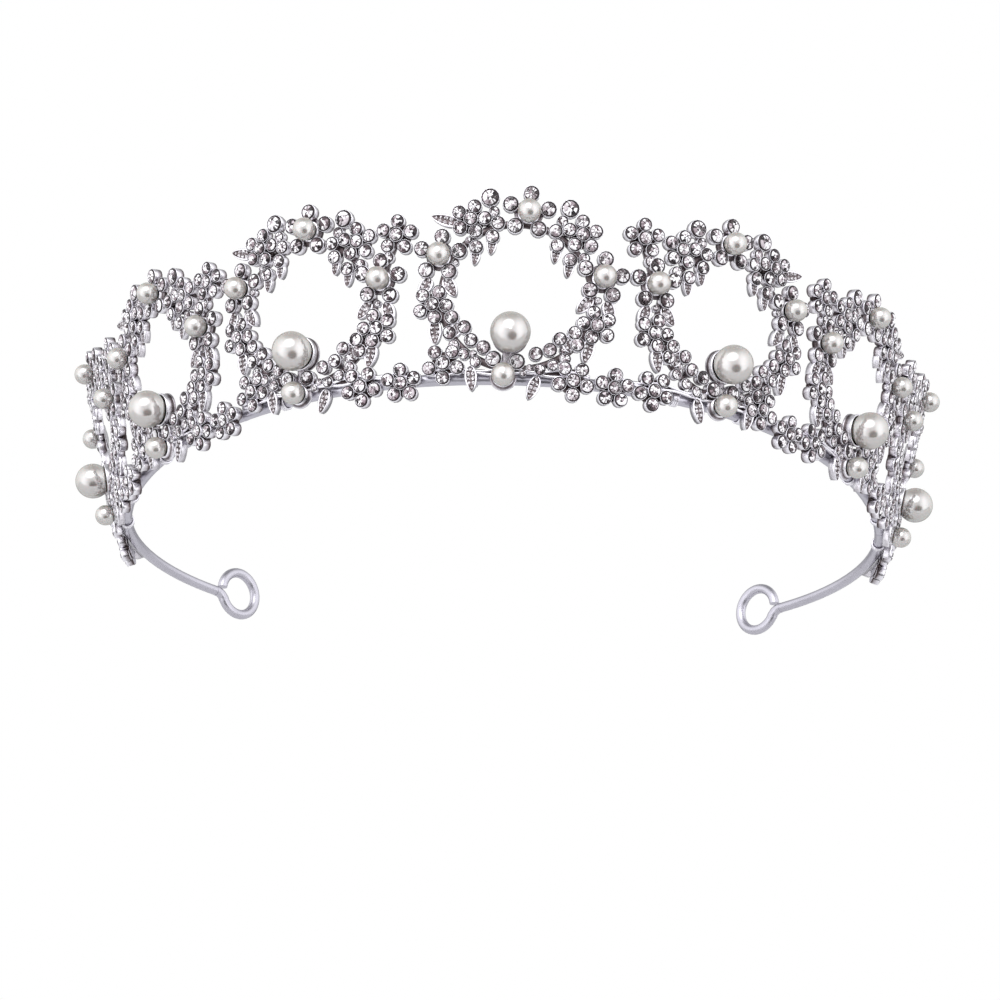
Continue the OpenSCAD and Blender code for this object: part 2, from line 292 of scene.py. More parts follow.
def placed(
    patch: Patch, origins: Array, axes: Array, scale: Array | None = None, spin: Array | None = None,
) -> Patch:
    """Copies of a surface: point = origin + scale * (spun local point) times the place's axes.

    Args:
        patch: The surface to copy.
        origins: Places, of shape (copies, 3).
        axes: Rows along, up and out at each place, of shape (copies, 3, 3).
        scale: Optional size of each copy.
        spin: Optional turn of each copy about its own Z axis, in radians.

    Returns:
        All copies as one surface.
    """
    count, size = len(origins), len(patch.points)
    pts = np.broadcast_to(patch.points, (count, size, 3)).copy()
    if spin is not None:
        c, s = np.cos(spin)[:, None], np.sin(spin)[:, None]
        x, y = pts[..., 0].copy(), pts[..., 1].copy()
        pts[..., 0], pts[..., 1] = c * x - s * y, s * x + c * y
    local = pts.reshape(-1, 3).copy()
    if scale is not None:
        pts = pts * np.asarray(scale)[:, None, None]
    world = origins[:, None, :] + np.einsum("kpi,kij->kpj", pts, axes)
    shift = (np.arange(count) * size)[:, None, None]
    faces = [(f[None] + shift).reshape(-1, f.shape[1]) for f in patch.faces]
    return Patch(world.reshape(-1, 3), faces, np.tile(patch.recess, count), local, patch.smooth)


def sweep(path: Array, side: Array, out: Array, profile: Array, recess: Array, closed: bool = False) -> Patch:
    """A closed profile carried along a path: point(i, j) = path_i + u_j * side_i + v_j * out_i.

    Args:
        path: Points along the way, of shape (n, 3).
        side: Unit vectors across the way.
        out: Unit vectors out of the wall.
        profile: Rows u, v of the section.
        recess: Recess value at each point of the section.
        closed: Whether the way joins its own start.

    Returns:
        The closed surface.
    """
    n, m = len(path), len(profile)
    pts = path[:, None] + profile[:, 0:1] * side[:, None] + profile[:, 1:2] * out[:, None]
    faces = [grid_faces(n, m, wrap_rows=closed, wrap_cols=True)]
    if not closed:
        faces.append(end_faces(n, m))
    flat = pts.reshape(-1, 3)
    return Patch(flat, faces, np.tile(recess, n), flat.copy())


def unit(v: Array) -> Array:
    """Returns the vectors at length one."""
    return v / np.maximum(np.linalg.norm(v, axis=-1, keepdims=True), 1e-12)


def ring_of(middle: Array, ring: float, count: int, phase: float) -> Array:
    """Returns points evenly round a middle, the first at the phase in degrees."""
    a = np.radians(phase + 360 * np.arange(count) / count)
    return middle + ring * np.stack([np.cos(a), np.sin(a)], -1)


class PieceMesh:
    """Gathers surfaces as whole arrays and writes them into one Blender mesh, in metres."""

    # A face with this many corners or more closes an end, and is shaded flat
    END_CORNERS = 9

    def __init__(self, name: str) -> None:
        """Starts an empty piece with its name."""
        self.name = name
        self.patches: list[Patch] = []
        self.ids: list[Array] = []

    def add(self, patch: Patch, ids: Array | None = None) -> None:
        """Adds a surface.

        Args:
            patch: The surface, in millimetres.
            ids: Optional number at each point that tells one stone from the next.
        """
        self.patches.append(patch)
        self.ids.append(np.zeros(len(patch.points)) if ids is None else ids)

    def build(self, material: bpy.types.Material) -> bpy.types.Object:
        """Writes the mesh, its point attributes and its material, and links the object.

        Args:
            material: The piece's material.

        Returns:
            The object, at the origin, riding on the root body.
        """
        faces: list[list[int]] = []
        smooth: list[Array] = []
        base = 0
        for patch in self.patches:
            for block in patch.faces:
                faces.extend((block + base).tolist())
                smooth.append(np.full(len(block), patch.smooth and block.shape[1] < self.END_CORNERS))
            base += len(patch.points)
        pts = np.concatenate([p.points for p in self.patches]) * MM
        mesh = bpy.data.meshes.new(self.name)
        mesh.from_pydata(pts.tolist(), [], faces)
        mesh.polygons.foreach_set("use_smooth", np.concatenate(smooth).astype(bool))
        for name, kind, slot, values in (
            ("recess", "FLOAT", "value", [p.recess for p in self.patches]),
            ("stone", "FLOAT", "value", self.ids),
            ("local", "FLOAT_VECTOR", "vector", [p.local for p in self.patches]),
        ):
            attribute = mesh.attributes.new(name, kind, "POINT")
            attribute.data.foreach_set(slot, np.concatenate(values).astype(np.float32).ravel())
        mesh.materials.append(material)
        mesh.update()
        obj = bpy.data.objects.new(self.name, mesh)
        bpy.context.scene.collection.objects.link(obj)
        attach(obj, "root")
        return obj


# The wall of wreaths


@dataclass(frozen=True)
class Wall:
    """The leaning wall round the head that carries the wreaths, and where things sit on it."""

    sizes: CrownSizes = field(default_factory=CrownSizes)

    def plan(self, along: Array) -> tuple[Array, Array, Array]:
        """The wire's plan: arcs joined end to end, mirrored to the wearer's right.

        Args:
            along: Distances from the front, positive to the wearer's left.

        Returns:
            X and Y of each point and its heading in radians.
        """
        s = np.abs(np.asarray(along, dtype=float))
        x = np.zeros_like(s)
        y = np.zeros_like(s)
        heading = np.zeros_like(s)
        left = s.copy()
        cx, cy, h = 0.0, 0.0, 0.0
        for i, (radius, turn) in enumerate(self.sizes.arcs):
            length = radius * math.radians(turn)
            here = left >= 0
            part = left if i == len(self.sizes.arcs) - 1 else np.minimum(left, length)
            a = h + part / radius
            mx, my = cx - radius * math.sin(h), cy + radius * math.cos(h)
            x = np.where(here, mx + radius * np.sin(a), x)
            y = np.where(here, my - radius * np.cos(a), y)
            heading = np.where(here, a, heading)
            end = h + math.radians(turn)
            cx, cy, h = mx + radius * math.sin(end), my - radius * math.cos(end), end
            left = np.where(left > length, left - length, -1.0)
        sign = np.where(np.asarray(along) < 0, -1.0, 1.0)
        return sign * x, y + self.sizes.front_y, sign * heading

    def frames(self, spots: Array) -> tuple[Array, Array]:
        """Places on the wall: heading turns them in plan and the flare leans them out.

        Args:
            spots: Rows of distance along the wire and height up the wall.

        Returns:
            Origins on the wire's own leaning plane, and rows along, up and out at each.
        """
        spots = np.atleast_2d(np.asarray(spots, dtype=float))
        x, y, h = self.plan(spots[:, 0])
        f = math.radians(self.sizes.flare)
        along = np.stack([np.cos(h), np.sin(h), np.zeros_like(h)], -1)
        out = np.stack([np.sin(h) * math.cos(f), -np.cos(h) * math.cos(f), np.full_like(h, -math.sin(f))], -1)
        up = np.stack([np.sin(h) * math.sin(f), -np.cos(h) * math.sin(f), np.full_like(h, math.cos(f))], -1)
        origin = np.stack([x, y, np.full_like(x, self.sizes.wire_z)], -1) + up * spots[:, 1:2]
        return origin, np.stack([along, up, out], 1)

    def side(self, k: int) -> int:
        """Returns -1 on the wearer's right, 1 on the wearer's left and 0 at the front."""
        return int(np.sign(k - FRONT))

    def outermost(self, k: int) -> bool:
        """Returns whether a wreath is the last one on its side."""
        return k in (WREATHS[0], WREATHS[-1])

    def lean(self, k: int) -> float:
        """Returns a wreath's turn, clockwise seen from outside, in radians."""
        s = self.sizes
        return math.radians((s.right_lean, s.front_lean, s.left_lean)[self.side(k) + 1])

    def turned(self, k: int, points: Array) -> Array:
        """Returns places of a wreath's own plane upright: across from its middle and up from the wire."""
        p = np.atleast_2d(points).astype(float).copy()
        if self.side(k) > 0:
            p[:, 0] *= -1
        a = self.lean(k)
        across = p[:, 0] * math.cos(a) + p[:, 1] * math.sin(a)
        up = self.sizes.ring_up - p[:, 0] * math.sin(a) + p[:, 1] * math.cos(a)
        return np.stack([across, up], -1)

    def about_foot(self, k: int, points: Array) -> Array:
        """Returns places turned about the wire with the wreath, across and up."""
        a = self.lean(k)
        c, s = math.cos(a), math.sin(a)
        return np.stack([points[:, 0] * c + points[:, 1] * s, points[:, 1] * c - points[:, 0] * s], -1)

    def upright(self, k: int, points: Array) -> Array:
        """Returns upright places as distance along the wire and height, drawn in as the wall grows wider."""
        p = np.atleast_2d(points).astype(float)
        grow = 1 + p[:, 1] * math.sin(math.radians(self.sizes.flare)) / self.sizes.mean_r
        return np.stack([(k - FRONT) * self.sizes.pitch + p[:, 0] / grow, p[:, 1]], -1)

    def in_wreath(self, k: int, points: Array) -> Array:
        """Returns places of a wreath's own plane as distance along the wire and height."""
        return self.upright(k, self.turned(k, points))


# One wreath


@dataclass
class WreathChart:
    """Where each cup of a wreath sits on the wall, by kind of setting.

    The large and the low pearl are in the wreath's own plane, and spots are rows of distance along the wire
    and height. The rings of seeds are tried in turn, and a seed may reach a little under its neighbour's rim:
    it keeps clear by seed_clearance of its own radius.
    """

    wall: Wall
    number: int
    seed_rings: tuple[float, ...] = (12.9, 12.1, 13.7, 12.5, 13.3, 11.7)
    seeds_round: int = 72
    seed_phase: float = 1.5
    seed_clearance: float = 0.62
    spots: dict[Setting, Array] = field(init=False)
    large_pearl: Array = field(init=False)
    low_pearl: Array = field(init=False)

    def __post_init__(self) -> None:
        """Works out the places of all cups."""
        s, k, w = self.wall.sizes, self.number, self.wall
        side = w.side(k)
        self.large_pearl = Polar(HANG[side], LARGE_PEARL_AT).point()
        self.low_pearl = Polar(HANG[side], LOW_PEARL_AT).point()
        hearts = [w.in_wreath(k, plane_points([p for p, _ in FLOWERS]))]
        buds = [w.in_wreath(k, ring_of(p.point(), s.bud_ring, s.petals, phase)) for p, phase in FLOWERS]
        petals = [
            w.in_wreath(k, ring_of(p.point(), s.petal_ring, s.petals, UPRIGHT_PHASE)) for p in UPPER_PEARLS
        ]
        low_petals = self.low_pearl + plane_points([Polar(a, s.petal_ring) for a in LOW_PETALS])
        petals.append(w.in_wreath(k, low_petals))
        foot = w.about_foot(k, FOOT_FLOWERS)
        hearts.append(w.upright(k, foot))
        buds += [w.upright(k, ring_of(middle, s.foot_ring, s.petals, FOOT_PHASE)) for middle in foot]
        small = plane_points(BAND_CUPS)
        link_feet = []
        if side:
            hearts.append(w.in_wreath(k, LINK_TOP))
            buds.append(w.in_wreath(k, ring_of(LINK_TOP, s.foot_ring, s.petals, UPRIGHT_PHASE)))
            small = np.concatenate([small, (LINK_TOP + SIDE_PEARLS[1].point())[None] / 2])
            link_feet.append(-side * s.pitch / 2)
        if w.outermost(k):
            link_feet.append(side * s.pitch / 2)
        for across in link_feet:
            middle = np.array([across, 0.0]) + LINK_FOOT
            hearts.append(w.upright(k, middle))
            buds.append(w.upright(k, ring_of(middle, s.bud_ring, s.petals, UPRIGHT_PHASE)))
        buds += [w.in_wreath(k, plane_points(rows)) for rows in (SINGLES, TIPPED)]
        self.spots = {
            Setting.HEART: np.concatenate(hearts),
            Setting.BUD: np.concatenate(buds),
            Setting.PETAL: np.concatenate(petals),
            Setting.BEZEL: w.in_wreath(k, plane_points(BEZELS)),
            Setting.PAVE: w.in_wreath(k, small),
        }
        self.spots[Setting.SEED] = self.band_fill()

    def band_fill(self) -> Array:
        """Seed stones in the gaps of the ring band: places evenly round each ring of seeds, each kept if it
        clears every cup, pearl and seed kept so far.

        Returns:
            Rows of distance along the wire and height.
        """
        w, k = self.wall, self.number
        pearls = np.concatenate([plane_points(UPPER_PEARLS), self.low_pearl[None]])
        taken = np.concatenate([*self.spots.values(), w.in_wreath(k, pearls)])
        radii = [CUPS[kind].diameter / 2 for kind, rows in self.spots.items() for _ in rows]
        reach = np.array(radii + [w.sizes.small_pearl_d / 2] * len(pearls))
        seed = CUPS[Setting.SEED].diameter / 2
        kept: list[Array] = []
        for radius in self.seed_rings:
            ring = ring_of(np.zeros(2), radius, self.seeds_round, self.seed_phase)
            for spot in w.in_wreath(k, ring):
                clear = np.linalg.norm(taken - spot, axis=1) > reach + self.seed_clearance * seed
                if clear.all():
                    kept.append(spot)
                    taken = np.concatenate([taken, spot[None]])
                    reach = np.append(reach, seed)
        return np.array(kept)


@dataclass(frozen=True)
class Bar:
    """A flat bar of the casting.

    It holds half the bar's width, the heights of its back and its face above the casting's back, its face's
    recess value, its number of sections, and the height and phase of its wave.
    """

    half: float
    low: float
    high: float
    recess: float
    steps: int = 6
    wave: float = 0.0
    turn: float = 0.0


@dataclass(frozen=True)
class Leaf:
    """A leaf on the wall: its upright root and tip, its full width, and its face's height."""

    root: Array
    tip: Array
    width: float
    height: float


# The foot rail's waved edges, each with its height above the wire
RAIL_EDGES = (
    (0.55, Bar(0.22, 0.1, 1.1 + 0.55 / 4, 0.15, 40, 0.22, 0.6)),
    (1.2, Bar(0.2, 0.1, 1.1 + 1.2 / 4, 0.15, 40, 0.3, 2.4)),
)
RAIL = Bar(0.45, 0.05, 0.7, 0.8, 32)
STEM = Bar(0.55, 0.3, 1.1, 0.6)
PEARL_STRUT = Bar(0.8, 0.1, 0.95, 0.4)
# Profiles that are turned about their own axis: radius, height, recess
PEARL_CUP = ((1.95, 0.9, 0.6), (1.85, 1.55, 0.0), (1.66, 1.5, 0.1), (1.3, 1.15, 0.9))
FLOWER_PLATE = ((2.2, 0.08, 0.12), (2.27, 0.15, 0.8), (2.3, 0.6, 0.8), (2.2, 0.85, 0.7), (1.2, 0.88, 1.0))
UPPER_DISH = ((2.36, 0.08, 0.12), (2.44, 0.15, 0.8), (2.55, 0.6, 0.8), (2.4, 0.85, 0.5), *PEARL_CUP)
LOW_DISH = ((2.2, 0.08, 0.12), (2.45, 0.3, 0.2), (2.45, 0.6, 0.15), (2.3, 0.8, 0.4), *PEARL_CUP)
DRUM = (
    (2.84, 0.0, 0.12), (2.95, 0.03, 0.7), (3.14, 0.14, 0.5), (3.14, 0.42, 0.3),
    (3.02, 0.55, 0.7), (3.0, 1.6, 0.2), (3.12, 1.78, 0.0), (3.1, 2.02, 0.0),
    (2.92, 2.1, 0.05), (2.76, 2.0, 0.4), (2.7, 1.2, 1.0), (1.2, 0.95, 1.0),
)
# A leaf's face: part of the half width, depth below its rim, recess
LEAF_FACE = np.array([
    [-1.0, 0.5, 0.25], [-0.97, 0.12, 0.1], [-0.82, 0.0, 0.0], [-0.6, 0.28, 0.8], [0.0, 0.16, 0.6],
    [0.6, 0.28, 0.8], [0.82, 0.0, 0.0], [0.97, 0.12, 0.1], [1.0, 0.5, 0.25],
])
# Small stones in a leaf: part of the length from the root, part of the half width, radius
LEAF_STONES = np.array([
    [0.13, 0.0, 0.4], [0.32, 0.4, 0.43], [0.32, -0.4, 0.43], [0.51, 0.4, 0.43],
    [0.51, -0.4, 0.43], [0.69, 0.32, 0.38], [0.69, -0.32, 0.38], [0.85, 0.0, 0.3],
])


@dataclass
class CastingMaker:
    """The metal of one wreath: cups, ring band, foot rail, leaves, drum and collars."""

    chart: WreathChart
    cup_sides: int = 14
    band_r: float = 12.9
    band_half: float = 0.62
    band_steps: int = 96
    # The band's face gets painted shade, as it lies under the stones
    band_recess: float = 0.7
    back_recess: float = 0.25
    wave_length: float = 9.5
    leaf_height: float = 1.6
    leaf_steps: int = 13
    leaf_back: float = 0.15
    tip_length: float = 3.1
    tip_width: float = 1.8
    tip_height: float = 1.5
    tail_root: float = 19.5
    tail_tip: float = 27.0
    tail_width: float = 2.8
    collar_across: float = 7.0
    collar_turns: float = 3.2
    collar_r: float = 1.3
    collar_step: float = 0.38
    collar_wire_r: float = 0.2
    collar_recess: float = 0.15

    def cup_patch(self, setting: Setting) -> Patch:
        """Returns a round cup: a profile from its foot up the wall, over a thin rim and down to its floor."""
        size = CUPS[setting]
        r, h = size.diameter / 2, size.height
        # The recess values paint shade at the wall's foot and down inside the cup, and keep the rim bright
        profile = [
            (0.92 * r, 0.3, 0.12),
            (0.93 * r, 0.38, 0.8),
            (0.98 * r, 0.7, 0.5),
            (0.99 * r, h - 0.5, 0.18),
            (0.985 * r, h - 0.08, 0.05),
            (0.96 * r, h, 0.0),
            (0.925 * r, h - 0.05, 0.5),
            (0.905 * r, h - 0.75, 1.0),
        ]
        return revolve(profile, self.cup_sides)

    def lifted(self, spots: Array, rise: float = 0.0) -> tuple[Array, Array]:
        """Returns origins at the back of the casting, raised by a height, and their axes."""
        origin, axes = self.chart.wall.frames(spots)
        return origin + axes[:, 2] * (self.chart.wall.sizes.back + rise), axes

    def add_cups(self, piece: PieceMesh) -> None:
        """Adds every cup of the wreath."""
        for setting, spots in self.chart.spots.items():
            piece.add(placed(self.cup_patch(setting), *self.lifted(spots)))

    def path_axes(self, spots: Array, closed: bool = False) -> tuple[Array, Array, Array]:
        """A way along the wall, and across and out of it.

        Args:
            spots: Rows of distance along the wire and height.
            closed: Whether the way joins its own start.

        Returns:
            Points, unit vectors across the way in the wall, and unit vectors out of the wall.
        """
        origin, axes = self.lifted(spots)
        if closed:
            way = np.roll(origin, -1, 0) - np.roll(origin, 1, 0)
        else:
            way = np.gradient(origin, axis=0)
        out = axes[:, 2]
        side = unit(np.cross(out, unit(way)))
        return origin, side, out

    def bar_recess(self, face: float) -> Array:
        """Returns the recess of a bar's six section corners: four round its face, two bright ones behind."""
        return np.array([face] * 4 + [self.back_recess] * 2)

    def add_band(self, piece: PieceMesh) -> None:
        """Adds the ring band: a flat section with eased edges carried round the wreath's circle."""
        ring = self.band_r * circle(self.band_steps)
        path, side, out = self.path_axes(self.chart.wall.in_wreath(self.chart.number, ring), closed=True)
        b = self.band_half
        section = np.array([(-b, 0.25), (b, 0.25), (b, 0.8), (0.8 * b, 1.05), (-0.8 * b, 1.05), (-b, 0.8)])
        piece.add(sweep(path, side, out, section[::-1], self.bar_recess(self.band_recess), closed=True))

    def bar_patch(self, ends: Array, bar: Bar) -> Patch:
        """A flat bar between two upright places, with eased edges, carried along the wall.

        It may wave gently: up = straight line + wave * sin(2 pi across / wave length + turn).

        Args:
            ends: The two upright places, across and up.
            bar: The bar's section and wave.

        Returns:
            The closed bar.
        """
        t = np.linspace(0, 1, bar.steps)[:, None]
        line = ends[0] * (1 - t) + ends[1] * t
        line[:, 1] += bar.wave * np.sin(2 * math.pi * line[:, 0] / self.wave_length + bar.turn)
        path, side, out = self.path_axes(self.chart.wall.upright(self.chart.number, line))
        b, low, high, ease = bar.half, bar.low, bar.high, bar.high - 0.15
        section = np.array([(-b, low), (b, low), (b, ease), (0.7 * b, high), (-0.7 * b, high), (-b, ease)])
        return sweep(path, side, out, section[::-1], self.bar_recess(bar.recess))

    def add_bars(self, piece: PieceMesh) -> None:
        """Adds the foot rail, the stems of the large cups and link flower, and the strut of the pearls."""
        w, k = self.chart.wall, self.chart.number
        side = w.side(k)
        half_pitch = w.sizes.pitch / 2
        low = -half_pitch if side > 0 or k == WREATHS[0] else LINK_FOOT[0] - RAIL_END
        high = half_pitch if side < 0 or k == WREATHS[-1] else LINK_FOOT[0] + RAIL_END
        for up, bar in (*RAIL_EDGES, (RAIL_UP, RAIL)):
            piece.add(self.bar_patch(np.array([[low, up], [high, up]]), bar))
        for ends in STEMS:
            piece.add(self.bar_patch(w.turned(k, plane_points(ends)), STEM))
        ends = np.array([self.chart.large_pearl, self.chart.low_pearl])
        piece.add(self.bar_patch(w.turned(k, ends), PEARL_STRUT))
        if side:
            ends = np.array([LINK_TOP, SIDE_PEARLS[1].point()])
            piece.add(self.bar_patch(w.turned(k, ends), STEM))

    def add_discs(self, piece: PieceMesh) -> None:
        """Adds the plates behind the flowers, the dishes of the small pearls and the large pearl's drum."""
        w, k = self.chart.wall, self.chart.number
        for profile, sides, spots in (
            (FLOWER_PLATE, 16, self.chart.spots[Setting.HEART]),
            (UPPER_DISH, 20, w.in_wreath(k, plane_points(UPPER_PEARLS))),
            (LOW_DISH, 24, w.in_wreath(k, self.chart.low_pearl)),
            (DRUM, 40, w.in_wreath(k, self.chart.large_pearl)),
        ):
            piece.add(placed(revolve(profile, sides), *self.lifted(spots)))

    def leaf_frame(self, leaf: Leaf) -> tuple[Array, Array, float]:
        """Returns a leaf's middle, its axes turned along the leaf, and its length."""
        d = leaf.tip - leaf.root
        long = float(np.linalg.norm(d))
        origin, axes = self.lifted(self.chart.wall.upright(self.chart.number, (leaf.root + leaf.tip) / 2))
        c, s = d / long
        turn = np.array([[c, s, 0], [-s, c, 0], [0, 0, 1.0]])
        return origin, np.einsum("ij,kjl->kil", turn, axes), long

    def leaf_patch(self, leaf: Leaf) -> Patch:
        """A pointed leaf: across it the face is raised at the rim and dished inside, less so towards the tip,
        and along it the half width swells as sin(pi * t^0.8)^0.6, to a point at both ends.

        Args:
            leaf: The leaf.

        Returns:
            The closed leaf, in its place.
        """
        origin, axes, long = self.leaf_frame(leaf)
        t = np.linspace(0, 1, self.leaf_steps)[:, None]
        half = leaf.width / 2 * np.clip(np.sin(np.pi * t**0.8), 0, 1) ** 0.6 + 0.02
        u, drop, tone = LEAF_FACE.T
        face = leaf.height - drop[None] * (1 - 0.6 * t)
        x = (t - 0.5) * long + 0 * u[None]
        top = np.stack([x, half * u[None], face], -1)
        under = np.stack([x, (half * u[None] * 0.92)[:, ::-1], np.full_like(x, self.leaf_back)], -1)
        rows = np.concatenate([top, under], 1)
        n, m = rows.shape[:2]
        # This section runs the other way round than a bar's, so its faces are turned over
        faces = [grid_faces(n, m, wrap_cols=True)[:, ::-1], end_faces(n, m)[:, ::-1]]
        recess = np.tile(np.concatenate([tone, np.full(len(tone), self.back_recess)]), n)
        flat = rows.reshape(-1, 3)
        return placed(Patch(flat, faces, recess, flat.copy()), origin, axes)

    def leaves(self) -> list[Leaf]:
        """Returns every leaf, the tips below single stones, and the tail leaf on an outermost wreath."""
        w, k = self.chart.wall, self.chart.number
        rows = []
        for leaf in LEAVES:
            rows.append(Leaf(*w.turned(k, plane_points((leaf.root, leaf.tip))), leaf.width, self.leaf_height))
        for p in TIPPED:
            ends = np.array([p.point(), p.point() - np.array([0, self.tip_length])])
            rows.append(Leaf(*w.turned(k, ends), self.tip_width, self.tip_height))
        if w.outermost(k):
            across = w.side(k) * np.array([self.tail_root, self.tail_tip]) + LINK_FOOT[0]
            ends = np.stack([across, np.full(2, RAIL_UP)], -1)
            rows.append(Leaf(*ends, self.tail_width, self.leaf_height))
        return rows

    def add_collars(self, piece: PieceMesh) -> None:
        """Adds the two collars: thin wire wound in a tight coil round the base wire,
        point(a) = (step * a / 2 pi, r cos a, r sin a) about the wire."""
        w, k = self.chart.wall, self.chart.number
        a = np.linspace(0, self.collar_turns * 2 * math.pi, 64)
        section = self.collar_wire_r * circle(6)
        for across in (-self.collar_across, self.collar_across):
            origin, axes = w.frames(w.upright(k, np.array([across, 0.0])))
            along, up, out = axes[0]
            spoke = np.cos(a)[:, None] * up + np.sin(a)[:, None] * out
            shift = (a / (2 * math.pi) - self.collar_turns / 2)[:, None] * self.collar_step
            path = origin + shift * along + self.collar_r * spoke
            recess = np.full(len(section), self.collar_recess)
            piece.add(sweep(path, np.tile(along, (len(a), 1)), spoke, section, recess))

    def build(self, material: bpy.types.Material) -> bpy.types.Object:
        """Builds the casting and puts it in its node's place.

        Args:
            material: The casting's material.

        Returns:
            The casting's object.
        """
        piece = PieceMesh(f"casting_{self.chart.number}")
        self.add_cups(piece)
        self.add_band(piece)
        self.add_bars(piece)
        self.add_discs(piece)
        for leaf in self.leaves():
            piece.add(self.leaf_patch(leaf))
        self.add_collars(piece)
        obj = piece.build(material)
        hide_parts(f"wreath_{self.chart.number}")
        return obj


@dataclass
class StoneMaker:
    """The cut stones of one wreath: one in each cup, and small ones set in the leaves.

    A stone's own rings are parts of its radius, and its heights are over its widest ring.
    """

    chart: WreathChart
    casting: CastingMaker
    seed: int = 11
    table_r: float = 0.56
    table_z: float = 0.34
    star_r: float = 0.8
    star_z: float = 0.2
    point_z: float = -0.62
    share: float = 0.9
    below_rim: float = 0.13
    below_leaf: float = 0.16
    usual_width: float = 2.3
    usual_length: float = 4.6

    def stone_patch(self, sides: int) -> Patch:
        """A round brilliant of radius one: table, star, kite and girdle facets over a pointed back.
        Its three rings of points are the table's, the stars', turned by half a step, and the widest.

        Args:
            sides: Number of sides of the table.

        Returns:
            The closed stone with flat facets.
        """
        a = np.arange(sides) * 2 * math.pi / sides
        half = math.pi / sides
        levels = (
            (self.table_r, a, self.table_z), (self.star_r, a + half, self.star_z),
            (1.0, np.arange(2 * sides) * half, 0.0),
        )
        rings = [np.stack([r * np.cos(b), r * np.sin(b), np.full(len(b), z)], -1) for r, b, z in levels]
        pts = np.concatenate([*rings, [[0, 0, self.point_z]]])
        i = np.arange(sides)
        j = (i + 1) % sides
        t, m, g, tip = 0, sides, 2 * sides, 4 * sides
        star = np.stack([t + i, m + i, t + j], -1)
        kite = np.stack([t + j, m + i, g + 2 * j, m + j], -1)
        left = np.stack([m + i, g + 2 * i, g + 2 * i + 1], -1)
        right = np.stack([m + i, g + 2 * i + 1, g + (2 * i + 2) % (2 * sides)], -1)
        q = np.arange(2 * sides)
        under = np.stack([g + q, np.full(2 * sides, tip), g + (q + 1) % (2 * sides)], -1)
        faces = [np.arange(sides)[None], kite, np.concatenate([star, left, right, under])]
        return Patch(pts, faces, np.zeros(len(pts)), pts.copy(), smooth=False)

    def build(self, material: bpy.types.Material) -> bpy.types.Object:
        """Builds the wreath's stones and puts them in their node's place.

        Args:
            material: The stones' material.

        Returns:
            The stones' object.
        """
        rng = np.random.default_rng(self.seed + self.chart.number)
        piece = PieceMesh(f"cut_stones_{self.chart.number}")
        big, small = self.stone_patch(8), self.stone_patch(5)
        count = 0
        for setting, spots in self.chart.spots.items():
            size = CUPS[setting]
            origin, axes = self.casting.lifted(spots, size.height - self.below_rim)
            n = len(spots)
            radius = np.full(n, self.share * size.diameter / 2)
            spin = rng.uniform(0, 2 * math.pi, n)
            ids = np.repeat(rng.uniform(0, 1, n) + count, len(big.points))
            stones = placed(big, origin, axes, radius, spin)
            if self.chart.wall.side(self.chart.number) > 0:
                # The painted shadow edge's wide side is mirrored on the wearer's left
                stones.local[:, 0] *= -1
            piece.add(stones, ids)
            count += n
        t, u, radii = LEAF_STONES.T
        n = len(t)
        for leaf in self.casting.leaves():
            origin, axes, long = self.casting.leaf_frame(leaf)
            height = np.full(n, leaf.height - self.below_leaf)
            spot = origin + np.stack([(t - 0.5) * long, u * leaf.width / 2, height], -1) @ axes[0]
            ids = np.repeat(rng.uniform(0, 1, n) + count, len(small.points))
            radius = radii * min(leaf.width / self.usual_width, long / self.usual_length)
            piece.add(placed(small, spot, np.repeat(axes, n, 0), radius, rng.uniform(0, 6, n)), ids)
            count += n
        obj = piece.build(material)
        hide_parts(f"stones_{self.chart.number}")
        LOG.info("stones_%d holds %d stones", self.chart.number, count)
        return obj


# Finishes


